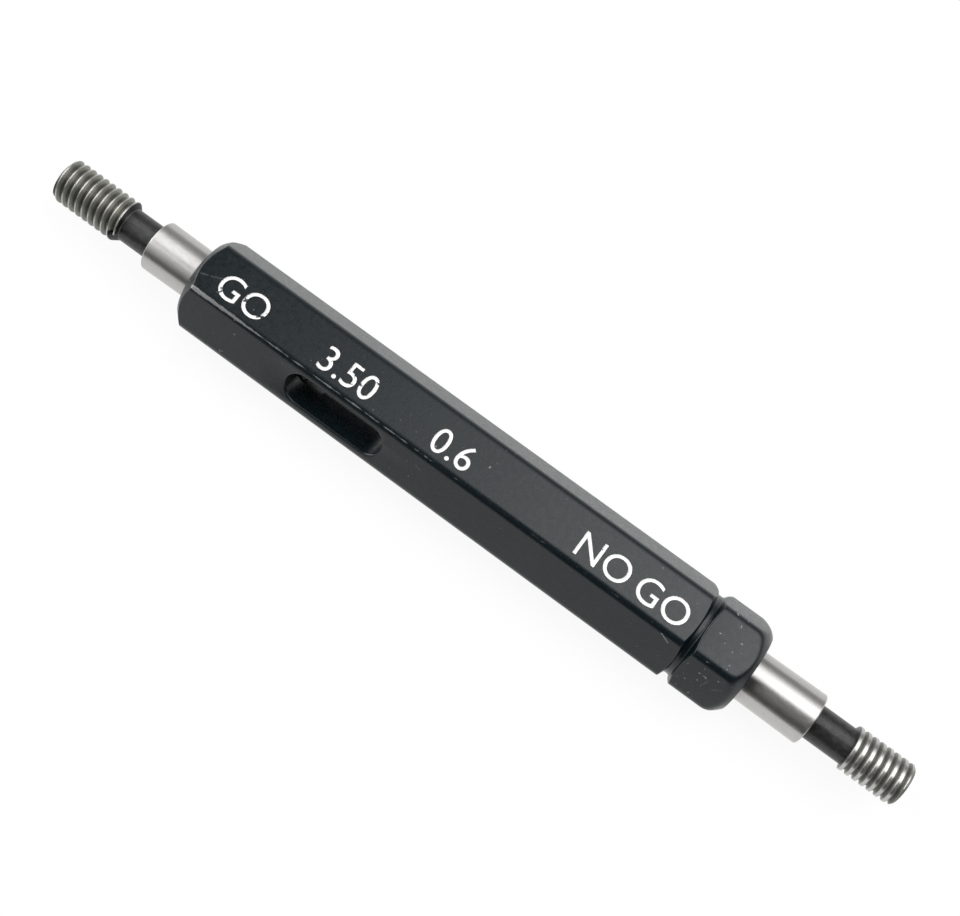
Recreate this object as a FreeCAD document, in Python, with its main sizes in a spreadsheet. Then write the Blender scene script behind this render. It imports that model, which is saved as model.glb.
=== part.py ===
# Double-ended taper-lock thread plug gauge for M3.5 x 0.6 threads.
#
# Three pieces: a hexagonal handle, and a turned and ground gauging member driven into a 1:50 taper
# seat at each of its ends. The GO member has the full thread form; the NO-GO member has a shorter
# thread on the largest allowed pitch diameter, with its crests cut down.
#
# Frame: the gauge's axis runs along +X, from the GO end to the NO-GO end, and +Z points up. The gauge
# lies on one flat of the hexagon, with the marked flat up, and the origin is at the middle of the
# resting flat. Lengths are in millimetres and angles in degrees.

import FreeCAD, Part
import math
import os

import Sketcher

Vector = FreeCAD.Vector
Rotation = FreeCAD.Rotation
Placement = FreeCAD.Placement

doc = FreeCAD.newDocument("thread_plug_gauge")

# ---------------------------------------------------------------------------------------------
# Driving dimensions
# ---------------------------------------------------------------------------------------------

sheet = doc.addObject("Spreadsheet::Sheet", "Sizes")

SIZES = [
    ("handle_length", 48.0, "hexagonal bar, end to end"),
    ("across_flats", 7.0, "width of the hexagonal bar"),
    ("bar_edge_radius", 0.75, "rounding of the bar's six long edges"),
    ("handle_rim_diameter", 6.4, "flat ring left at each end face"),
    ("handle_end_angle", 45.0, "slope of the end bevels from the axis"),
    ("marking_groove_from_end", 4.57, "middle of the marking groove to the NO-GO end of the handle"),
    ("marking_groove_diameter", 6.84, "bottom of the marking groove"),
    ("marking_groove_width", 0.5, "width of the marking groove"),
    ("drift_slot_from_end", 14.0, "middle of the drift slot to the GO end of the handle"),
    ("drift_slot_length", 8.4, "overall, over the round ends"),
    ("drift_slot_width", 2.65, "across the slot"),
    ("seat_diameter", 3.95, "taper seat where it opens at the handle's end face"),
    ("seat_depth", 12.0, "length of the taper seat"),
    ("seat_clearance", 0.005, "radial room between shank and seat"),
    ("taper_ratio", 50.0, "length for each unit of diameter, so 1 in 50"),
    ("pilot_bore_diameter", 3.2, "straight bore that joins the two seats"),
    ("shank_depth", 10.2, "length of shank inside the handle"),
    ("shank_end_bevel", 0.3, "bevel at the inner end of the shank"),
    ("shank_edge_break", 0.08, "bevel at the shank's outer shoulder"),
    ("go_shank_reach", 4.4, "GO shank that stands out of the handle"),
    ("no_go_shank_reach", 5.35, "NO-GO shank that stands out of the handle"),
    ("neck_diameter", 2.7, "neck between shank and thread"),
    ("go_tip_reach", 13.0, "GO tip to the handle's end face"),
    ("no_go_tip_reach", 13.0, "NO-GO tip to the handle's end face"),
    ("thread_pitch", 0.6, "both threads"),
    ("thread_angle", 60.0, "between the flanks"),
    ("tip_bevel", 0.22, "bevel at each tip, at 45 degrees"),
    ("go_thread_length", 5.70, "full-diameter length of the GO thread, tip included"),
    ("go_major_diameter", 3.506, "over the GO crests"),
    ("go_pitch_diameter", 3.116, "smallest allowed pitch diameter of the tapped hole"),
    ("go_root_diameter", 2.76, "bottom of the GO thread's groove"),
    ("go_runout_length", 0.2, "cone from the GO thread down to the neck"),
    ("no_go_thread_length", 4.52, "length of the NO-GO thread, tip included"),
    ("no_go_runout_length", 0.12, "cone from the NO-GO thread down to the neck"),
    ("no_go_major_diameter", 3.348, "over the cut-down NO-GO crests"),
    ("no_go_pitch_diameter", 3.228, "largest allowed pitch diameter of the tapped hole"),
    ("no_go_root_diameter", 2.86, "bottom of the NO-GO thread's groove"),
]

for row, (alias, value, note) in enumerate(SIZES, start=1):
    sheet.set("A%d" % row, alias)
    sheet.set("B%d" % row, str(value))
    sheet.set("C%d" % row, note)
    sheet.setAlias("B%d" % row, alias)
doc.recompute()

# ---------------------------------------------------------------------------------------------
# Sketches and features
# ---------------------------------------------------------------------------------------------


def origin_feature(body, role):
    """One of the body's own origin planes or axes, such as XY_Plane or X_Axis."""
    for feature in body.Origin.OriginFeatures:
        if feature.Role == role:
            return feature
    raise ValueError("no origin feature named " + role)


def new_sketch(body, name, plane, turned=None):
    """An empty sketch on one of the body's origin planes, turned about the gauge's axis if asked."""
    sketch = body.newObject("Sketcher::SketchObject", name)
    sketch.AttachmentSupport = [(origin_feature(body, plane), "")]
    sketch.MapMode = "FlatFace"
    if turned is not None:
        sketch.AttachmentOffset = Placement(Vector(0, 0, 0), Rotation(Vector(1, 0, 0), turned))
    return sketch


def place_point(sketch, geometry, end, across, along):
    """Ties one point of a sketch to the two expressions that say how far it is from the origin."""
    for kind, expression, axis in (("DistanceX", across, -2), ("DistanceY", along, -1)):
        if expression == "0":
            sketch.addConstraint(Sketcher.Constraint("PointOnObject", geometry, end, axis))
            continue
        value = sketch.evalExpression(expression)
        index = sketch.addConstraint(Sketcher.Constraint(kind, -1, 1, geometry, end, value))
        sketch.setExpression("Constraints[%d]" % index, expression)


def draw_outline(sketch, corners):
    """A closed outline of straight lines through corners, each given as two expressions."""
    points = [Vector(sketch.evalExpression(x), sketch.evalExpression(y), 0) for x, y in corners]
    count = len(points)
    for i in range(count):
        sketch.addGeometry(Part.LineSegment(points[i], points[(i + 1) % count]), False)
    for i in range(count):
        sketch.addConstraint(Sketcher.Constraint("Coincident", i, 2, (i + 1) % count, 1))
    for i, (x, y) in enumerate(corners):
        place_point(sketch, i, 1, x, y)


def draw_slot(sketch, middle, length, width):
    """An obround whose long axis lies on the sketch's horizontal axis."""
    reach = "(%s - %s) / 2" % (length, width)
    left = sketch.evalExpression("%s - %s" % (middle, reach))
    right = sketch.evalExpression("%s + %s" % (middle, reach))
    radius = sketch.evalExpression("%s / 2" % width)
    right_circle = Part.Circle(Vector(right, 0, 0), Vector(0, 0, 1), radius)
    left_circle = Part.Circle(Vector(left, 0, 0), Vector(0, 0, 1), radius)
    quarter = math.pi / 2
    sketch.addGeometry(Part.ArcOfCircle(right_circle, -quarter, quarter), False)
    sketch.addGeometry(Part.LineSegment(Vector(right, radius, 0), Vector(left, radius, 0)), False)
    sketch.addGeometry(Part.ArcOfCircle(left_circle, quarter, 3 * quarter), False)
    sketch.addGeometry(Part.LineSegment(Vector(left, -radius, 0), Vector(right, -radius, 0)), False)
    sketch.addConstraint(Sketcher.Constraint("Tangent", 0, 2, 1, 1))
    sketch.addConstraint(Sketcher.Constraint("Tangent", 1, 2, 2, 1))
    sketch.addConstraint(Sketcher.Constraint("Tangent", 2, 2, 3, 1))
    sketch.addConstraint(Sketcher.Constraint("Tangent", 3, 2, 0, 1))
    place_point(sketch, 0, 3, "%s + %s" % (middle, reach), "0")
    place_point(sketch, 2, 3, "%s - %s" % (middle, reach), "0")
    index = sketch.addConstraint(Sketcher.Constraint("Radius", 0, radius))
    sketch.setExpression("Constraints[%d]" % index, "%s / 2" % width)


def turn(body, name, sketch, cut):
    """Revolves a sketch about the gauge's axis, to add material or to cut it away."""
    before = body.Shape.Volume if cut else 0.0
    feature = body.newObject("PartDesign::Groove" if cut else "PartDesign::Revolution", name)
    feature.Profile = sketch
    feature.ReferenceAxis = (origin_feature(body, "X_Axis"), [""])
    feature.Angle = 360.0
    sketch.Visibility = False
    doc.recompute()
    if cut and body.Shape.Volume >= before:
        raise ValueError(name + " cut nothing")
    return feature


def new_body(name):
    """A body whose X axis is the gauge's axis, at the height where the handle's flat rests on zero."""
    body = doc.addObject("PartDesign::Body", name)
    body.Label = name
    body.setExpression("Placement.Base.z", "Sizes.across_flats / 2")
    return body


# ---------------------------------------------------------------------------------------------
# Handle
# ---------------------------------------------------------------------------------------------

# Cut from blackened hexagonal bar. Each end is bevelled in the lathe, so that the bevel meets every
# flat in an arc, and a shallow turned groove marks the NO-GO end. The drift slot crosses the bore
# where the GO shank ends.

CORNER = "Sizes.across_flats / sqrt(3)"
BEYOND_BAR = "Sizes.across_flats"
HALF_HANDLE = "Sizes.handle_length / 2"


def bar_edges(bar):
    """Names of the bar's long edges."""
    names = []
    for i, edge in enumerate(bar.Shape.Edges, start=1):
        start, end = (vertex.Point for vertex in edge.Vertexes)
        if abs(start.x - end.x) > bar.Shape.BoundBox.XLength / 2:
            names.append("Edge%d" % i)
    return names


def make_handle():
    body = new_body("handle")

    section = new_sketch(body, "BarSection", "YZ_Plane")
    half_side = "(%s) / 2" % CORNER
    flat = "Sizes.across_flats / 2"
    draw_outline(section, [
        (CORNER, "0"),
        (half_side, flat),
        ("-" + half_side, flat),
        ("-" + CORNER, "0"),
        ("-" + half_side, "-" + flat),
        (half_side, "-" + flat),
    ])
    bar = body.newObject("PartDesign::Pad", "Bar")
    bar.Profile = section
    bar.SideType = "Symmetric"
    bar.setExpression("Length", "Sizes.handle_length")
    doc.recompute()

    edges = body.newObject("PartDesign::Fillet", "BarEdges")
    edges.Base = (bar, bar_edges(bar))
    edges.setExpression("Radius", "Sizes.bar_edge_radius")
    doc.recompute()

    rim = "Sizes.handle_rim_diameter / 2"
    bevel = new_sketch(body, "EndBevelProfile", "XZ_Plane")
    draw_outline(bevel, [
        (HALF_HANDLE, rim),
        (HALF_HANDLE, BEYOND_BAR),
        ("%s - (%s - %s) / tan(Sizes.handle_end_angle)" % (HALF_HANDLE, BEYOND_BAR, rim), BEYOND_BAR),
    ])
    end_bevel = turn(body, "EndBevel", bevel, cut=True)
    both_ends = body.newObject("PartDesign::Mirrored", "EndBevels")
    both_ends.Originals = [end_bevel]
    both_ends.MirrorPlane = (origin_feature(body, "YZ_Plane"), [""])
    body.Tip = both_ends
    doc.recompute()

    middle = "(%s - Sizes.marking_groove_from_end)" % HALF_HANDLE
    bottom = "Sizes.marking_groove_diameter / 2"
    half_width = "Sizes.marking_groove_width / 2"
    groove = new_sketch(body, "MarkingGrooveProfile", "XZ_Plane")
    draw_outline(groove, [
        ("%s - %s" % (middle, half_width), bottom),
        ("%s + %s" % (middle, half_width), bottom),
        ("%s + %s" % (middle, half_width), BEYOND_BAR),
        ("%s - %s" % (middle, half_width), BEYOND_BAR),
    ])
    turn(body, "MarkingGroove", groove, cut=True)

    seat_end = "(%s - Sizes.seat_depth)" % HALF_HANDLE
    mouth = "Sizes.seat_diameter / 2"
    seat_bottom = "(Sizes.seat_diameter - Sizes.seat_depth / Sizes.taper_ratio) / 2"
    pilot = "Sizes.pilot_bore_diameter / 2"
    bore = new_sketch(body, "BoreProfile", "XZ_Plane")
    draw_outline(bore, [
        ("-" + HALF_HANDLE, "0"),
        ("-" + HALF_HANDLE, mouth),
        ("-" + seat_end, seat_bottom),
        ("-" + seat_end, pilot),
        (seat_end, pilot),
        (seat_end, seat_bottom),
        (HALF_HANDLE, mouth),
        (HALF_HANDLE, "0"),
    ])
    turn(body, "SeatsAndBore", bore, cut=True)

    # The slot opens on the flat 60 degrees round from the marked one, and on the flat opposite.
    slot_profile = new_sketch(body, "DriftSlotProfile", "XY_Plane", turned=60.0)
    slot_middle = "(Sizes.drift_slot_from_end - %s)" % HALF_HANDLE
    draw_slot(slot_profile, slot_middle, "Sizes.drift_slot_length", "Sizes.drift_slot_width")
    before = body.Shape.Volume
    slot = body.newObject("PartDesign::Pocket", "DriftSlot")
    slot.Profile = slot_profile
    slot.SideType = "Symmetric"
    slot.Type = "ThroughAll"
    doc.recompute()
    if body.Shape.Volume >= before:
        raise ValueError("DriftSlot cut nothing")
    return body


# ---------------------------------------------------------------------------------------------
# Gauging members
# ---------------------------------------------------------------------------------------------

# Each member is one piece of hardened steel: a shank ground to the seat's taper, a neck left black
# from hardening, and a ground thread. The shank wedges in the seat before its shoulder could touch.


def shank_radius(outward):
    """Expression for the shank's radius at a distance outward from the handle's end face."""
    mouth = "Sizes.seat_diameter / 2 - Sizes.seat_clearance"
    return "%s + (%s) / Sizes.taper_ratio / 2" % (mouth, outward)


def make_member(node, sizes, side):
    """One gauging member. sizes is the prefix of its own sizes, side is -1 or +1 along X."""
    body = new_body(node)
    own = "Sizes." + sizes + "_"
    sign = "-" if side < 0 else ""

    def station(outward):
        return "%s(%s + (%s))" % (sign, HALF_HANDLE, outward)

    tip = own + "tip_reach"
    major = own + "major_diameter / 2"
    neck = "Sizes.neck_diameter / 2"
    thread_start = "%s - %sthread_length" % (tip, own)
    inner_end = "-Sizes.shank_depth"
    inner_bevel = "Sizes.shank_end_bevel - Sizes.shank_depth"
    shoulder = own + "shank_reach"
    break_start = "%s - Sizes.shank_edge_break" % shoulder

    blank = new_sketch(body, node + "_profile", "XZ_Plane")
    draw_outline(blank, [
        (station(inner_end), "0"),
        (station(inner_end), shank_radius(inner_end) + " - Sizes.shank_end_bevel / 2"),
        (station(inner_bevel), shank_radius(inner_bevel)),
        (station(break_start), shank_radius(break_start)),
        (station(shoulder), shank_radius(break_start) + " - Sizes.shank_edge_break"),
        (station(shoulder), neck),
        (station("%s - %srunout_length" % (thread_start, own)), neck),
        (station(thread_start), major),
        (station("%s - Sizes.tip_bevel" % tip), major),
        (station(tip), "%s - Sizes.tip_bevel" % major),
        (station(tip), "0"),
    ])
    turn(body, node + "_blank", blank, cut=False)

    # The thread groove's flanks leave half a pitch of metal at the pitch diameter. The cut starts one
    # pitch before the thread and ends one pitch after it, past the tip and over the thinner neck.
    root = own + "root_diameter / 2"
    outside = "(%s + Sizes.thread_pitch / 15)" % major
    root_half = "(%s)" % groove_half_width(own, root)
    outside_half = "(%s)" % groove_half_width(own, outside)
    first_x = station("%s + Sizes.thread_pitch" % tip)
    if side > 0:
        first_x = station("%s - %srunout_length - Sizes.thread_pitch" % (thread_start, own))
    cutter = new_sketch(body, node + "_thread_profile", "XZ_Plane")
    draw_outline(cutter, [
        ("%s - %s" % (first_x, root_half), root),
        ("%s + %s" % (first_x, root_half), root),
        ("%s + %s" % (first_x, outside_half), outside),
        ("%s - %s" % (first_x, outside_half), outside),
    ])
    before = body.Shape.Volume
    thread = body.newObject("PartDesign::SubtractiveHelix", node + "_thread")
    thread.Profile = cutter
    thread.ReferenceAxis = (origin_feature(body, "X_Axis"), [""])
    thread.Mode = "pitch-height-angle"
    thread.setExpression("Pitch", "Sizes.thread_pitch")
    thread.setExpression(
        "Height", "%sthread_length + %srunout_length + 2 * Sizes.thread_pitch" % (own, own)
    )
    thread.LeftHanded = False
    doc.recompute()
    if body.Shape.Volume >= before:
        raise ValueError(thread.Name + " cut nothing")
    return body


def groove_half_width(own, radius):
    """Expression for half the thread groove's width at a radius."""
    pitch_radius = own + "pitch_diameter / 2"
    return "Sizes.thread_pitch / 4 + (%s - %s) * tan(Sizes.thread_angle / 2)" % (radius, pitch_radius)


# ---------------------------------------------------------------------------------------------
# Build, check and write
# ---------------------------------------------------------------------------------------------

pieces = [
    make_handle(),
    make_member("go_member", "go", -1),
    make_member("no_go_member", "no_go", 1),
]
doc.recompute()

for thing in doc.Objects:
    if "Invalid" in thing.State or "Error" in thing.State:
        raise ValueError("%s did not build: %s" % (thing.Name, thing.State))

os.makedirs("parts", exist_ok=True)
for piece in pieces:
    shape = piece.Shape
    if shape.isNull() or not shape.isValid() or len(shape.Solids) != 1:
        raise ValueError(piece.Label + " is not one valid solid")
    shape.exportStep("parts/%s.step" % piece.Label)
    print("%s: %.3f mm3, %d faces" % (piece.Label, shape.Volume, len(shape.Faces)))
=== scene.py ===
import math

import bmesh
import bpy
from mathutils import Matrix, Vector


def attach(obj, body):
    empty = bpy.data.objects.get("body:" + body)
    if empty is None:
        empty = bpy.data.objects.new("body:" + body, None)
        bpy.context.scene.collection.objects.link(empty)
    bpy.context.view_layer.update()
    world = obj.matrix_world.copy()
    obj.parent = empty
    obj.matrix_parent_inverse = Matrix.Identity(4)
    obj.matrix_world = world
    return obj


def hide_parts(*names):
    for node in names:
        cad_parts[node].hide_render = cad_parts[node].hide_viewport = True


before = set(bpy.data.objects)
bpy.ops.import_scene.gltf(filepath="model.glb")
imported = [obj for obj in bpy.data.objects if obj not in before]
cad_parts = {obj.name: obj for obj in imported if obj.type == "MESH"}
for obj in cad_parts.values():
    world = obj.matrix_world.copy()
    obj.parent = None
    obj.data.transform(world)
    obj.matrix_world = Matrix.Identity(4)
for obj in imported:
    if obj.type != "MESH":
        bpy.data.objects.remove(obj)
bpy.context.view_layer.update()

MM = 0.001

# Handle.
# One length of cold-drawn hexagonal steel bar, blasted and blackened. The ends are bevelled in the
# lathe, a groove marks the NO-GO end, and a drift slot is milled through beside the GO shank.

AXIS_HEIGHT = 3.5 * MM
HALF_LENGTH = 24.0 * MM
FLAT = 3.5 * MM
EDGE_RADIUS = 0.76 * MM
EDGE_REACH = 3.93 * MM
RIM = 3.2 * MM
NO_GO_RIM = 3.05 * MM

GROOVE_MIDDLE = 19.43 * MM
GROOVE_BOTTOM = 3.3 * MM
GROOVE_HALF_WIDTH = 0.2 * MM
GROOVE_WALL_ANGLE = 24
GROOVE_FLARE_ANGLE = 21

SEAT_MOUTH = 1.975 * MM
SEAT_BOTTOM = 1.855 * MM
SEAT_DEPTH = 12.0 * MM
PILOT_BORE = 1.6 * MM
MOUTH_BEVEL = 0.1 * MM

SLOT_MIDDLE = -10.0 * MM
SLOT_LENGTH = 8.4 * MM
SLOT_WIDTH = 2.65 * MM
SLOT_ROUNDING = 0.14 * MM
SLOT_FACE_TURN = 150


def rounded(corners):
    """Points along a polyline of (x, r, radius) corners, each corner rounded in five steps."""
    steps = 5
    count = len(corners)
    points = []
    for i, (x, r, radius) in enumerate(corners):
        here = Vector((x, r))
        if radius == 0.0 or i in (0, count - 1):
            points.append(here)
            continue
        before = Vector(corners[i - 1][:2]) - here
        after = Vector(corners[i + 1][:2]) - here
        half_turn = (math.pi - before.angle(after)) / 2
        reach = min(radius * math.tan(half_turn), 0.45 * before.length, 0.45 * after.length)
        start = here + before.normalized() * reach
        end = here + after.normalized() * reach
        for step in range(steps + 1):
            t = step / steps
            points.append(start * (1 - t) ** 2 + here * 2 * t * (1 - t) + end * t**2)
    return points


def hexagon_points():
    """(y, z) points round the bar's section, from the middle of one flat round to the same place."""
    flat_steps = 40
    arc_steps = 14
    half_side = FLAT * math.tan(math.radians(30))
    straight = half_side - EDGE_RADIUS * math.tan(math.radians(30))
    arc_middle = (FLAT - EDGE_RADIUS) / math.cos(math.radians(30))
    points = []
    for k in range(6):
        normal = math.radians(30 + 60 * k)
        out = Vector((math.cos(normal), math.sin(normal)))
        along = Vector((-out.y, out.x))
        for step in range(flat_steps):
            points.append(out * FLAT + along * straight * (2 * step / flat_steps - 1))
        corner = normal + math.radians(30)
        centre = Vector((math.cos(corner), math.sin(corner))) * arc_middle
        for step in range(arc_steps):
            angle = normal + math.radians(60) * step / arc_steps
            points.append(centre + Vector((math.cos(angle), math.sin(angle))) * EDGE_RADIUS)
    return points


def bar_profile(height, flare):
    """(x, r) points of the handle's section where the bar's surface lies at that distance out.

    The groove's walls lean further out where flare is above zero.
    """
    wall = math.tan(math.radians(GROOVE_WALL_ANGLE + GROOVE_FLARE_ANGLE * flare))
    bevel_end = HALF_LENGTH - (height - RIM)
    no_go_bevel_end = HALF_LENGTH - (height - NO_GO_RIM)
    groove_depth = height - GROOVE_BOTTOM
    left = GROOVE_MIDDLE - GROOVE_HALF_WIDTH
    right = GROOVE_MIDDLE + GROOVE_HALF_WIDTH
    left_top = left - groove_depth * wall
    right_top = right + groove_depth * wall
    seat_end = HALF_LENGTH - SEAT_DEPTH
    flank = [(-bevel_end + (left_top + bevel_end) * k / 12, height, 0.0) for k in range(1, 12)]
    corners = [
        (-seat_end, SEAT_BOTTOM, 0.0),
        (-HALF_LENGTH + MOUTH_BEVEL, SEAT_MOUTH, 0.02 * MM),
        (-HALF_LENGTH, SEAT_MOUTH + MOUTH_BEVEL, 0.03 * MM),
        (-HALF_LENGTH, RIM, 0.16 * MM),
        (-bevel_end, height, 0.16 * MM),
        *flank,
        (left_top, height, 0.12 * MM),
        (left, GROOVE_BOTTOM, 0.2 * MM),
        (right, GROOVE_BOTTOM, 0.2 * MM),
        (right_top, height, 0.12 * MM),
        (no_go_bevel_end, height, 1.3 * MM),
        (HALF_LENGTH, NO_GO_RIM, 0.3 * MM),
        (HALF_LENGTH, SEAT_MOUTH + MOUTH_BEVEL, 0.03 * MM),
        (HALF_LENGTH - MOUTH_BEVEL, SEAT_MOUTH, 0.02 * MM),
        (seat_end, SEAT_BOTTOM, 0.0),
        (seat_end, PILOT_BORE, 0.0),
        (-seat_end, PILOT_BORE, 0.0),
    ]
    return rounded(corners)


def make_object(name, bm):
    """An object from a finished bmesh, with its faces turned outward."""
    bmesh.ops.recalc_face_normals(bm, faces=bm.faces)
    mesh = bpy.data.meshes.new(name)
    bm.to_mesh(mesh)
    bm.free()
    piece = bpy.data.objects.new(name, mesh)
    bpy.context.scene.collection.objects.link(piece)
    return piece


def bar_mesh():
    """The bar with its bevels, groove and bore: one profile for each point round the hexagon."""
    bm = bmesh.new()
    columns = []
    for y, z in hexagon_points():
        height = math.hypot(y, z)
        out_y, out_z = y / height, z / height
        flare = max(0.0, out_y) ** 8
        columns.append(
            [
                bm.verts.new((x, r * out_y, r * out_z + AXIS_HEIGHT))
                for x, r in bar_profile(height, flare)
            ]
        )
    for here, there in zip(columns, columns[1:] + columns[:1]):
        for k in range(len(here)):
            after = (k + 1) % len(here)
            bm.faces.new((here[k], there[k], there[after], here[after]))
    return bm


def obround(half_straight, radius):
    """Points round a slot's outline."""
    steps = 20
    points = []
    for side in (1, -1):
        for step in range(steps + 1):
            angle = math.pi * (step / steps - 0.5)
            points.append(
                (side * (half_straight + radius * math.cos(angle)), side * radius * math.sin(angle))
            )
    return points


def slot_cutter():
    """The milling cutter's path through the bar, spread at both mouths to round their edges."""
    last_angle = math.radians(72)
    beyond = FLAT + 0.5 * MM
    face_turn = math.radians(SLOT_FACE_TURN)
    out = Vector((0, math.cos(face_turn), math.sin(face_turn)))
    across = Vector((0, -out.z, out.y))
    middle = Vector((SLOT_MIDDLE, 0, AXIS_HEIGHT))
    levels = []
    for step in range(7):
        angle = last_angle * step / 6
        depth = FLAT - SLOT_ROUNDING * (1 - math.sin(angle))
        levels.append((depth, SLOT_ROUNDING * (1 - math.cos(angle))))
    depth, spread = levels[-1]
    levels.append((beyond, spread + (beyond - depth) * math.tan(last_angle)))
    levels = [(-depth, spread) for depth, spread in reversed(levels)] + levels
    bm = bmesh.new()
    rings = []
    for depth, spread in levels:
        outline = obround((SLOT_LENGTH - SLOT_WIDTH) / 2, SLOT_WIDTH / 2 + spread)
        rings.append(
            [bm.verts.new(middle + out * depth + across * s + Vector((x, 0, 0))) for x, s in outline]
        )
    for here, there in zip(rings, rings[1:]):
        for k in range(len(here)):
            after = (k + 1) % len(here)
            bm.faces.new((here[k], here[after], there[after], there[k]))
    bm.faces.new(rings[0])
    bm.faces.new(rings[-1])
    return bm


def text_cutter(words, left, bottom, height, depth):
    """Letters as a solid that reaches down to a depth below the marked flat."""
    capital_share = 0.729
    curve = bpy.data.curves.new("letters", "FONT")
    curve.body = words
    curve.size = height / capital_share
    curve.extrude = depth
    curve.resolution_u = 6
    curve.space_word = 0.6
    lettering = bpy.data.objects.new("letters", curve)
    bpy.context.scene.collection.objects.link(lettering)
    bpy.context.view_layer.update()
    depsgraph = bpy.context.evaluated_depsgraph_get()
    mesh = bpy.data.meshes.new_from_object(lettering.evaluated_get(depsgraph))
    bpy.data.objects.remove(lettering)
    bm = bmesh.new()
    bm.from_mesh(mesh)
    bpy.data.meshes.remove(mesh)
    bmesh.ops.remove_doubles(bm, verts=bm.verts, dist=0.0005 * MM)
    start = min(v.co.x for v in bm.verts)
    for vert in bm.verts:
        vert.co = Vector((vert.co.x - start + left, vert.co.y + bottom, vert.co.z + 2 * FLAT))
    return bm


def cut(piece, cutter):
    """Cuts one object out of another, and keeps the cutter's own material on the new faces."""
    modifier = piece.modifiers.new("cut", "BOOLEAN")
    modifier.operation = "DIFFERENCE"
    modifier.solver = "EXACT"
    modifier.material_mode = "TRANSFER"
    modifier.object = cutter
    bpy.context.view_layer.update()
    depsgraph = bpy.context.evaluated_depsgraph_get()
    mesh = bpy.data.meshes.new_from_object(piece.evaluated_get(depsgraph))
    piece.modifiers.clear()
    piece.data = mesh
    bpy.data.objects.remove(cutter)


def smooth(piece, angle):
    """Smooth shading, with edges sharper than the angle left crisp."""
    piece.data.shade_smooth()
    piece.data.set_sharp_from_angle(angle=math.radians(angle))


class Field:
    """A value, colour or vector that changes over a surface: one output of a material's node."""

    def __init__(self, socket):
        self.socket = socket

    def node(self, kind, settings=None, inputs=None, output=0):
        """Adds any node to the same material, and returns the field of one of its outputs."""
        tree = self.socket.id_data
        made = tree.nodes.new(kind)
        for name, value in (settings or {}).items():
            setattr(made, name, value)
        for name, value in (inputs or {}).items():
            if isinstance(value, Field):
                tree.links.new(value.socket, made.inputs[name])
            else:
                made.inputs[name].default_value = value
        return Field(made.outputs[output])

    def math(self, operation, first, second=0.0):
        return self.node("ShaderNodeMath", {"operation": operation}, {0: first, 1: second})

    def __add__(self, other):
        return self.math("ADD", self, other)

    __radd__ = __add__

    def __mul__(self, other):
        return self.math("MULTIPLY", self, other)

    __rmul__ = __mul__

    def __sub__(self, other):
        return self.math("SUBTRACT", self, other)

    def __rsub__(self, other):
        return self.math("SUBTRACT", other, self)

    def __truediv__(self, other):
        return self.math("DIVIDE", self, other)

    def __abs__(self):
        return self.math("ABSOLUTE", self)

    def least(self, other):
        return self.math("MINIMUM", self, other)

    def most(self, other):
        return self.math("MAXIMUM", self, other)

    def step(self, low, high):
        """0 at low and 1 at high, with a smooth rise between them. Low may be the larger."""
        settings = {"interpolation_type": "SMOOTHSTEP"}
        if low < high:
            return self.node("ShaderNodeMapRange", settings, {0: self, 1: low, 2: high, 3: 0.0, 4: 1.0})
        return self.node("ShaderNodeMapRange", settings, {0: self, 1: high, 2: low, 3: 1.0, 4: 0.0})

    def axis(self, name):
        """One coordinate of a vector."""
        return self.node("ShaderNodeSeparateXYZ", None, {0: self}, output="XYZ".index(name))

    def stretched(self, x, y, z):
        """A vector multiplied coordinate by coordinate."""
        return self.node("ShaderNodeVectorMath", {"operation": "MULTIPLY"}, {0: self, 1: (x, y, z)})

    def noise(self, scale, detail=2.0, roughness=0.5):
        """Noise from about 0 to 1 at this place, with that many waves to the metre."""
        inputs = {"Vector": self, "Scale": scale, "Detail": detail, "Roughness": roughness}
        return self.node("ShaderNodeTexNoise", None, inputs)

    def from_line(self, start, end):
        """Distance from the straight line between two points."""
        ahead = Vector(end) - Vector(start)
        offset = self.node("ShaderNodeVectorMath", {"operation": "SUBTRACT"}, {0: self, 1: start})
        along = offset.node(
            "ShaderNodeVectorMath",
            {"operation": "DOT_PRODUCT"},
            {0: offset, 1: ahead / ahead.length_squared},
            output=1,
        )
        nearest = offset.node(
            "ShaderNodeVectorMath",
            {"operation": "SCALE"},
            {0: tuple(ahead), "Scale": along.most(0.0).least(1.0)},
        )
        settings = {"operation": "DISTANCE"}
        return offset.node("ShaderNodeVectorMath", settings, {0: offset, 1: nearest}, output=1)

    def blend(self, first, second):
        """The first colour where this is 0, the second where it is 1."""
        settings = {"data_type": "RGBA"}
        return self.node("ShaderNodeMix", settings, {0: self, 6: first, 7: second}, output=2)


def start_material(name, settings):
    """A material, its shader with the sockets that are the same all over, and its place field."""
    material = bpy.data.materials.new(name)
    material.use_nodes = True
    shader = material.node_tree.nodes["Principled BSDF"]
    for socket, value in settings.items():
        shader.inputs[socket].default_value = value
    place = Field(material.node_tree.nodes.new("ShaderNodeTexCoord").outputs["Object"])
    return material, shader, place


def feed(shader, sockets):
    """Links fields to a shader's sockets."""
    for socket, field in sockets.items():
        shader.id_data.links.new(field.socket, shader.inputs[socket])


def grey(level, warm=0.0):
    """A grey of that level, a little warmer or colder."""
    return (level * (1 + warm), level, level * (1 - warm), 1.0)


def on_top(x, y):
    """A point of the marked flat, given in millimetres."""
    return (x * MM, y * MM, 2 * FLAT)


def on_slot_face(x, down):
    """A point of the flat with the slot, that far down from the marked flat, in millimetres."""
    y = -FLAT * math.tan(math.radians(30)) - math.sin(math.radians(30)) * down * MM
    return (x * MM, y, 2 * FLAT - math.cos(math.radians(30)) * down * MM)


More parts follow.
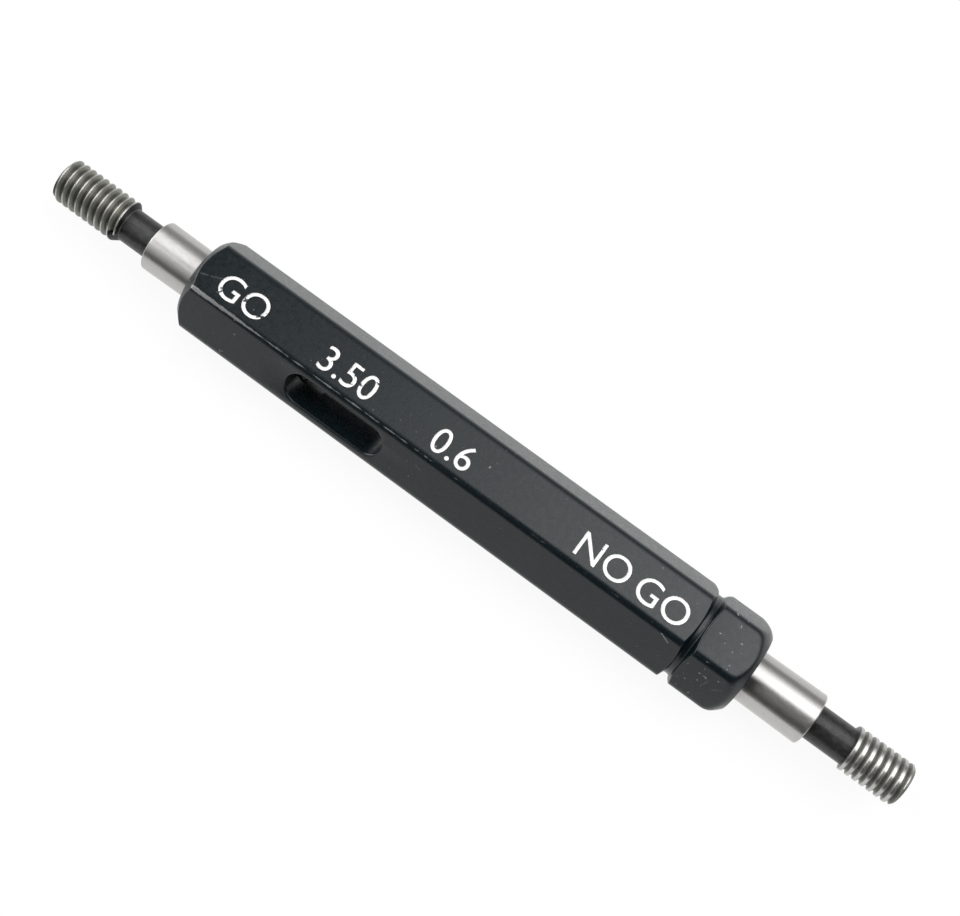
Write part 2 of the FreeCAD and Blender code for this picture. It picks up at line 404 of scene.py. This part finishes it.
# Each scratch has its two ends and how far the black is gone.
SCRATCHES = [
    (on_top(-23.4, -0.8), on_top(-22.9, -0.6), 0.2),
    (on_top(-22.7, -0.56), on_top(-21.9, -0.2), 0.15),
    (on_top(-20.3, -0.3), on_top(-20.1, -0.9), 0.1),
    (on_slot_face(17.4, 0.35), on_slot_face(18.15, 0.72), 0.55),
    (on_slot_face(21.85, 1.5), on_slot_face(21.65, 2.2), 0.16),
    (on_slot_face(22.4, 1.9), on_slot_face(23.0, 1.4), 0.1),
    (on_slot_face(19.1, 2.9), on_slot_face(19.25, 3.1), 0.4),
    (on_slot_face(-3.1, 1.2), on_slot_face(-2.6, 1.35), 0.12),
]


def blackened_steel():
    """Black oxide on blasted steel: a fine grain, dust, and bare metal where edges have rubbed."""
    material, shader, place = start_material("blackened_steel", {"Specular IOR Level": 0.45})
    x = place.axis("X")
    grain = place.noise(9000.0, 3.0, 0.7)
    cloud = place.noise(260.0, 3.0, 0.6)
    fine = place.noise(2600.0, 3.0, 0.6)
    body = (cloud * 0.6 + grain * 0.4).step(0.2, 0.8)
    black = body.blend((0.0016, 0.0052, 0.0075, 1.0), (0.0044, 0.0090, 0.0112, 1.0))

    edge_turn = math.radians(SLOT_FACE_TURN - 30)
    edge_y = EDGE_REACH * math.cos(edge_turn)
    edge_z = EDGE_REACH * math.sin(edge_turn) + AXIS_HEIGHT
    from_edge = place.from_line((-HALF_LENGTH, edge_y, edge_z), (HALF_LENGTH, edge_y, edge_z))
    ragged = place.stretched(1.0, 2.5, 2.5).noise(1500.0, 4.0, 0.7)
    patches = place.stretched(1.0, 0.0, 0.0).noise(420.0, 2.0, 0.6)
    reach = x.step(-16.0 * MM, -21.5 * MM) * 0.42 + x.step(5.0 * MM, -9.0 * MM) * 0.2
    rubbed = (ragged + patches * 0.5 + reach - from_edge * 3600.0).step(0.78, 1.06)
    marks = rubbed * 0.0
    for start, end, strength in SCRATCHES:
        marks = marks.most(place.from_line(start, end).step(0.06 * MM, 0.02 * MM) * strength)
    region = x.step(19.9 * MM, 20.6 * MM) * x.step(22.8 * MM, 22.2 * MM)
    specks = (place.noise(3600.0, 1.0, 0.5) + region * 0.07).step(0.76, 0.82)
    worn = rubbed.most(marks * ragged.step(0.3, 0.5)).most(specks * 0.5)
    colour = worn.blend(black, (0.33, 0.34, 0.34, 1.0))
    height = grain * 0.6 + fine * 0.4
    bump_inputs = {"Strength": 0.5, "Distance": 0.02 * MM, "Height": height}
    bump = grain.node("ShaderNodeBump", None, bump_inputs)
    feed(
        shader,
        {
            "Base Color": colour,
            "Metallic": rubbed * 0.6,
            "Roughness": 0.29 + (fine - 0.5) * 0.22,
            "Normal": bump,
        },
    )
    return material


def marking_paint():
    """White filler rubbed into the engraving. It has come away here and there near the GO end."""
    material, shader, place = start_material("marking_paint", {"Specular IOR Level": 0.3})
    x = place.axis("X")
    loss = x.step(2.0 * MM, -24.0 * MM) * 0.1
    chips = (place.noise(1500.0, 4.0, 0.65) + loss).step(0.66, 0.7)
    colour = chips.blend((0.86, 0.86, 0.85, 1.0), (0.02, 0.023, 0.026, 1.0))
    feed(shader, {"Base Color": colour, "Roughness": 0.55 + chips * 0.05})
    return material


handle = make_object("handle_visual", bar_mesh())
handle.data.materials.append(blackened_steel())
paint = marking_paint()

slot_tool = make_object("slot_tool", slot_cutter())
slot_tool.data.materials.append(handle.data.materials[0])
cut(handle, slot_tool)

# The marks are engraved in the upper flat and filled with white.
MARK_BOTTOM = -1.34 * MM
MARK_HEIGHT = 2.04 * MM
MARK_DEPTH = 0.05 * MM
for words, left in (
    ("GO", -21.9 * MM),
    ("3.50", -12.84 * MM),
    ("0.6", -3.13 * MM),
    ("NO GO", 9.3 * MM),
):
    letters = make_object("letters", text_cutter(words, left, MARK_BOTTOM, MARK_HEIGHT, MARK_DEPTH))
    letters.data.materials.append(paint)
    cut(handle, letters)
smooth(handle, 30)
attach(handle, "root")
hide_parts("handle")

# Gauging members.
# Each is one piece of hardened tool steel: a ground taper shank that is driven into the handle, a
# neck left black from hardening, and a ground thread. The NO-GO crests are cut down.

PITCH = 0.6 * MM
SHANK_DEPTH = 10.2 * MM
SHANK_MOUTH = 1.97 * MM
TAPER = 1 / 50 / 2
NECK = 1.35 * MM
TIP = 37.0 * MM
TIP_BEVEL = 0.22 * MM
SHANK_END_BEVEL = 0.3 * MM
SHANK_EDGE_BREAK = 0.08 * MM
TURN_STEPS = 144
PITCH_ROWS = 24

GO_CREST = 1.753 * MM
GO_PITCH_RADIUS = 1.558 * MM
GO_ROOT = 1.38 * MM
GO_FIRST_CREST = 0.298 * MM
GO_SHANK_REACH = 4.4 * MM
GO_START_CREST = 9
GO_START_BELOW = 0.05 * MM
GO_START_TURN = 25 / 360
GO_FOOT = 31.02 * MM

NO_GO_CREST = 1.674 * MM
NO_GO_PITCH_RADIUS = 1.614 * MM
NO_GO_ROOT = 1.43 * MM
NO_GO_FIRST_CREST = 0.14 * MM
NO_GO_SHANK_REACH = 5.35 * MM
NO_GO_START_CREST = 7
NO_GO_START_BELOW = 0.125 * MM
NO_GO_START_TURN = 300 / 360 - 1
NO_GO_FOOT_DROP = 0.05 * MM
BEYOND_TIP = 40.0 * MM


def thread_radius(u, major, pitch_radius, root):
    """Radius of the thread's surface at a distance along the axis from a crest's middle."""
    taps = 5
    spread = 0.01 * MM
    total = 0.0
    for tap in range(taps):
        offset = u + spread * (2 * tap / (taps - 1) - 1)
        from_crest = abs((offset + PITCH / 2) % PITCH - PITCH / 2)
        flank = pitch_radius + (PITCH / 4 - from_crest) / math.tan(math.radians(30))
        total += min(major, max(root, flank))
    return total / taps


def member_mesh(major, pitch_radius, root, first_crest, shank_reach, start):
    """A member about its own Z axis, with the tip outward. first_crest is on the upper side.

    start holds the thread's blunt start, which runs once round the axis along one crest: that
    crest's number, how far below its middle the start is, the turn at which it steps up one
    pitch, and where its cone meets the neck: at a fixed height, or so far below the start.
    """
    crest_number, below_crest, step_turn, foot_height, foot_drop = start
    first = TIP - first_crest - crest_number * PITCH - below_crest
    neck_start = (foot_height or first - PITCH) - 0.1 * MM
    shoulder = HALF_LENGTH + shank_reach
    inner_end = HALF_LENGTH - SHANK_DEPTH
    ramp = 12 / 360

    def start_height(turn):
        """Height of the thread's blunt start at that turn, with a short ramp where it steps."""
        since = (turn - step_turn) % 1.0
        height = first + PITCH * (step_turn + since - 0.25)
        if since > 1.0 - ramp:
            height -= PITCH * (since - 1.0 + ramp) / ramp
        return height

    def surface(z, along, turn):
        """Radius of the finished thread, of its blunt start and of the neck."""
        radius = thread_radius(along, major, pitch_radius, root)
        if z > TIP - TIP_BEVEL:
            return min(radius, major - (z - TIP + TIP_BEVEL))
        height = start_height(turn)
        if z >= height - 1e-9:
            return radius
        foot = foot_height or height - foot_drop
        return NECK + (major - NECK) * max(0.0, (z - foot) / (height - foot))

    rows = []
    for row in range(-int(crest_number + 3) * PITCH_ROWS, 2 * PITCH_ROWS + 1):
        u = row * PITCH / PITCH_ROWS
        line = []
        for column in range(TURN_STEPS + 1):
            turn = column / TURN_STEPS
            z = TIP - first_crest + u + PITCH * (turn - 0.25)
            z_inside = min(TIP, max(neck_start, z))
            along = z_inside - (TIP - first_crest) - PITCH * (turn - 0.25)
            radius = surface(z_inside, along, turn)
            angle = 2 * math.pi * turn
            line.append((radius * math.cos(angle), radius * math.sin(angle), z_inside))
        rows.append(line)

    bm = bmesh.new()
    grid = [[bm.verts.new(point) for point in line] for line in rows]
    for here, there in zip(grid, grid[1:]):
        for column in range(TURN_STEPS):
            corners = (here[column], here[column + 1], there[column + 1], there[column])
            bm.faces.new(corners)
    bmesh.ops.remove_doubles(bm, verts=bm.verts, dist=0.0002 * MM)

    def ring(z, radius):
        made = []
        for column in range(TURN_STEPS):
            angle = 2 * math.pi * column / TURN_STEPS
            made.append(bm.verts.new((radius * math.cos(angle), radius * math.sin(angle), z)))
        return made

    def open_ring(z):
        """The thread's own open end at that height, in order round the axis."""
        loose = {v for edge in bm.edges if len(edge.link_faces) == 1 for v in edge.verts}
        found = [v for v in loose if abs(v.co.z - z) < 0.01 * MM]
        return sorted(found, key=lambda v: math.atan2(v.co.y, v.co.x) % (2 * math.pi))

    inner_open = open_ring(neck_start)
    tip_open = open_ring(TIP)

    def shank(outward):
        return SHANK_MOUTH + TAPER * outward

    profile = rounded(
        [
            (neck_start, NECK, 0.0),
            (shoulder, NECK, 0.06 * MM),
            (shoulder, shank(shank_reach) - SHANK_EDGE_BREAK, 0.04 * MM),
            (shoulder - SHANK_EDGE_BREAK, shank(shank_reach), 0.08 * MM),
            (HALF_LENGTH, shank(0.0), 0.0),
            (inner_end + SHANK_END_BEVEL, shank(SHANK_END_BEVEL - SHANK_DEPTH), 0.05 * MM),
            (inner_end, shank(-SHANK_DEPTH) - SHANK_END_BEVEL / 2, 0.05 * MM),
            (inner_end, 0.5 * MM, 0.0),
        ]
    )
    rings = [inner_open] + [ring(z, radius) for z, radius in profile[1:]]
    for here, there in zip(rings, rings[1:]):
        bridge(bm, here, there)
    bm.faces.new(rings[-1])
    inside = ring(TIP, 0.6 * MM)
    bridge(bm, tip_open, inside)
    bm.faces.new(inside)
    return bm


def bridge(bm, first, second):
    """Joins two rings about the axis that may have different numbers of points."""

    def angle(vert):
        return math.atan2(vert.co.y, vert.co.x) % (2 * math.pi)

    i = j = 0
    while i < len(first) or j < len(second):
        a = first[i % len(first)]
        b = second[j % len(second)]
        next_a = angle(first[i + 1]) if i + 1 < len(first) else 2 * math.pi
        next_b = angle(second[j + 1]) if j + 1 < len(second) else 2 * math.pi
        if i < len(first) and j < len(second) and abs(next_a - next_b) < 1e-4:
            c, d = first[(i + 1) % len(first)], second[(j + 1) % len(second)]
            bm.faces.new((a, c, d, b))
            i += 1
            j += 1
        elif j >= len(second) or (i < len(first) and next_a < next_b):
            bm.faces.new((a, first[(i + 1) % len(first)], b))
            i += 1
        else:
            bm.faces.new((a, second[(j + 1) % len(second)], b))
            j += 1


def start_line(first_crest, crest_number, below_crest, step_turn):
    """Height of the lowest point of a thread's blunt start."""
    upper_side = 0.25
    height = TIP - first_crest - crest_number * PITCH - below_crest
    return height + PITCH * (step_turn - upper_side)


def gauge_steel(name, crest, start, step_turn, shoulder, cone_foot, groove_shade_level):
    """Ground steel, with the neck black from hardening, and the thread's flanks and roots painted darker
    and duller than its crests: painted shade in the grooves, deepest at the roots.

    The black ends at the blunt start, a helix that begins at the height start and at step_turn.
    """
    settings = {"Anisotropic": 0.9, "Anisotropic Rotation": 0.25}
    material, shader, place = start_material(name, settings)
    x, y, z = place.axis("X"), place.axis("Y"), place.axis("Z")
    around = place.stretched(1.0, 1.0, 0.0)
    radius = around.node("ShaderNodeVectorMath", {"operation": "LENGTH"}, {0: around}, output=1)
    turn = y.math("ARCTAN2", y, x) / (2 * math.pi) - step_turn
    line = turn.math("FRACT", turn) * PITCH + start
    grinding = place.stretched(0.12, 0.12, 1.0).noise(30000.0, 3.0, 0.7)
    cloud = place.noise(700.0, 3.0, 0.6)
    wander = (cloud - 0.5) * (0.03 * MM)
    below = (z - line).step(0.01 * MM, -0.02 * MM)
    black = (z + wander).step(shoulder - 0.02 * MM, shoulder + 0.03 * MM) * below
    cone = z.step(cone_foot + 0.01 * MM, cone_foot + 0.04 * MM) * below
    # A lighter grey ring painted where the cone meets the neck: a painted highlight along that corner.
    foot_highlight = abs(z - cone_foot).step(0.02 * MM, 0.005 * MM)
    thread = (z - line).step(-0.02 * MM, 0.01 * MM)
    # Off the crests the thread is painted darker, and darker again towards the roots: painted shade in
    # the grooves.
    groove_shade = radius.step(crest - 0.008 * MM, crest - 0.05 * MM) * thread
    root = radius.step(crest - 0.15 * MM, crest - 0.33 * MM)
    streaks = place.stretched(1.0, 1.0, 0.22).noise(9000.0, 4.0, 0.7)
    finish = (grinding * 0.5 + streaks * 0.5).step(0.25, 0.75)
    bright = finish.blend(grey(0.43, 0.02), grey(0.57, 0.02))
    # The painted shade's colours for the flanks and the roots, darker for the NO-GO member, whose level
    # is lower.
    flank = root.blend(
        (0.25 * groove_shade_level, 0.25 * groove_shade_level, 0.22 * groove_shade_level, 1.0), (0.13 * groove_shade_level, 0.13 * groove_shade_level, 0.11 * groove_shade_level, 1.0)
    )
    ground = groove_shade.blend(bright, flank)
    mottle = place.stretched(1.0, 1.0, 0.5).noise(4200.0, 4.0, 0.7).step(0.35, 0.75)
    oxide = mottle.blend((0.008, 0.0082, 0.008, 1.0), (0.034, 0.035, 0.034, 1.0))
    oxide = cone.blend(oxide, (0.003, 0.003, 0.003, 1.0))
    oxide = foot_highlight.blend(oxide, grey(0.12))
    colour = black.blend(ground, oxide)
    bump_inputs = {"Strength": 0.1, "Distance": 0.01 * MM, "Height": grinding}
    ridges = grinding.node("ShaderNodeBump", None, bump_inputs)
    feed(
        shader,
        {
            "Base Color": colour,
            "Metallic": 1.0 - black.most(groove_shade * 0.4),
            "Roughness": 0.36 + (streaks - 0.5) * 0.16 + black * 0.04 + cone * 0.2 + groove_shade * 0.1,
            "Normal": ridges,
        },
    )
    return material


def place_member(name, node, bm, material, turned):
    """Stands a member in its own end of the handle."""
    piece = make_object(name, bm)
    piece.data.materials.append(material)
    piece.matrix_world = Matrix.Translation((0, 0, AXIS_HEIGHT)) @ turned
    smooth(piece, 40)
    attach(piece, "root")
    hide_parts(node)


GO_TURNED = Matrix(((0, 0, -1, 0), (-1, 0, 0, 0), (0, 1, 0, 0), (0, 0, 0, 1)))
NO_GO_TURNED = Matrix(((0, 0, 1, 0), (1, 0, 0, 0), (0, 1, 0, 0), (0, 0, 0, 1)))

place_member(
    "go_member_visual",
    "go_member",
    member_mesh(
        GO_CREST,
        GO_PITCH_RADIUS,
        GO_ROOT,
        GO_FIRST_CREST,
        GO_SHANK_REACH,
        (GO_START_CREST, GO_START_BELOW, GO_START_TURN, GO_FOOT, 0.0),
    ),
    gauge_steel(
        "go_steel",
        GO_CREST,
        start_line(GO_FIRST_CREST, GO_START_CREST, GO_START_BELOW, GO_START_TURN),
        GO_START_TURN,
        HALF_LENGTH + GO_SHANK_REACH,
        GO_FOOT,
        1.0,
    ),
    GO_TURNED,
)
place_member(
    "no_go_member_visual",
    "no_go_member",
    member_mesh(
        NO_GO_CREST,
        NO_GO_PITCH_RADIUS,
        NO_GO_ROOT,
        NO_GO_FIRST_CREST,
        NO_GO_SHANK_REACH,
        (NO_GO_START_CREST, NO_GO_START_BELOW, NO_GO_START_TURN, 0.0, NO_GO_FOOT_DROP),
    ),
    gauge_steel(
        "no_go_steel",
        NO_GO_CREST,
        start_line(NO_GO_FIRST_CREST, NO_GO_START_CREST, NO_GO_START_BELOW, NO_GO_START_TURN),
        NO_GO_START_TURN,
        HALF_LENGTH + NO_GO_SHANK_REACH,
        BEYOND_TIP,
        0.8,
    ),
    NO_GO_TURNED,
)

# Surroundings.
# A plain white table under one broad soft light, which hangs over the NO-GO end and the far side. A
# bright strip far out past the GO end, and a fill on the near side there, light the GO member.

FLOOR_REACH = 3.0


def white_table():
    """White, and seen as plain white, while a share of its own shade stays under the gauge."""
    material = bpy.data.materials.new("white_table")
    material.use_nodes = True
    tree = material.node_tree
    shader = tree.nodes["Principled BSDF"]
    shader.inputs["Base Color"].default_value = (0.9, 0.9, 0.9, 1.0)
    shader.inputs["Roughness"].default_value = 0.9
    shader.inputs["Specular IOR Level"].default_value = 0.0
    light_path = tree.nodes.new("ShaderNodeLightPath")
    camera = Field(light_path.outputs["Is Camera Ray"])
    glossy = Field(light_path.outputs["Is Glossy Ray"])
    through = Field(light_path.outputs["Is Transmission Ray"])
    seen = camera.most(glossy).most(through)
    white = seen.node("ShaderNodeEmission", None, {"Color": (1, 1, 1, 1), "Strength": 1.0})
    lit = Field(shader.outputs[0])
    both = seen.node("ShaderNodeMixShader", None, {0: seen * 0.92, 1: lit, 2: white})
    tree.links.new(both.socket, tree.nodes["Material Output"].inputs["Surface"])
    return material


floor_bm = bmesh.new()
floor_corners = [(-1, -1), (1, -1), (1, 1), (-1, 1)]
floor_bm.faces.new([floor_bm.verts.new((x * FLOOR_REACH, y * FLOOR_REACH, 0)) for x, y in floor_corners])
floor = make_object("floor", floor_bm)
floor.data.materials.append(white_table())

world = bpy.data.worlds.new("studio")
bpy.context.scene.world = world
world.use_nodes = True
background = world.node_tree.nodes["Background"]
direction = Field(world.node_tree.nodes.new("ShaderNodeTexCoord").outputs["Generated"])
east = direction.axis("X")
north = direction.axis("Y")
up = direction.axis("Z")
side_tilt = (0.0 - north).math("ARCTAN2", 0.0 - north, up) * (180 / math.pi)
end_tilt = east.math("ARCSINE", east) * (180 / math.pi)
softbox = (
    side_tilt.step(17.0, -2.0)
    * side_tilt.step(-68.0, -24.0)
    * (end_tilt.step(-13.0, -8.0) * 0.45 + end_tilt.step(-9.0, 1.0) * 0.55)
    * end_tilt.step(66.0, 44.0)
)
strip = (
    side_tilt.step(36.0, 20.0)
    * side_tilt.step(-68.0, -48.0)
    * end_tilt.step(-38.0, -50.0)
    * end_tilt.step(-88.0, -80.0)
)
fill = side_tilt.step(10.0, 22.0) * side_tilt.step(90.0, 34.0) * end_tilt.step(-22.0, -38.0)
sides = side_tilt.step(-46.0, -66.0) * 0.3 + side_tilt.step(80.0, 96.0) * 0.25
low = up.step(0.14, 0.02) * side_tilt.step(40.0, 0.0) * 0.45
strength = 0.06 + sides + low + fill * 2.6 + strip * 5.0 + softbox * 3.3
feed(background, {"Strength": strength})
background.inputs["Color"].default_value = (1, 1, 1, 1)

# Camera.
# It looks down on the gauge from the side of the drift slot, with the gauge lying across the view.

camera_data = bpy.data.cameras.new("camera")
camera_data.sensor_width = 36.0
camera_data.lens = 57.8989
camera = bpy.data.objects.new("camera", camera_data)
bpy.context.scene.collection.objects.link(camera)
camera.location = (11.4913 * MM, -30.2253 * MM, 108.8102 * MM)
camera.rotation_euler = [math.radians(turn) for turn in (16.9741, -4.9983, 36.0692)]
camera_data.clip_start = 0.005
camera_data.clip_end = 20.0
bpy.context.scene.camera = camera
bpy.context.scene.view_settings.view_transform = "Standard"
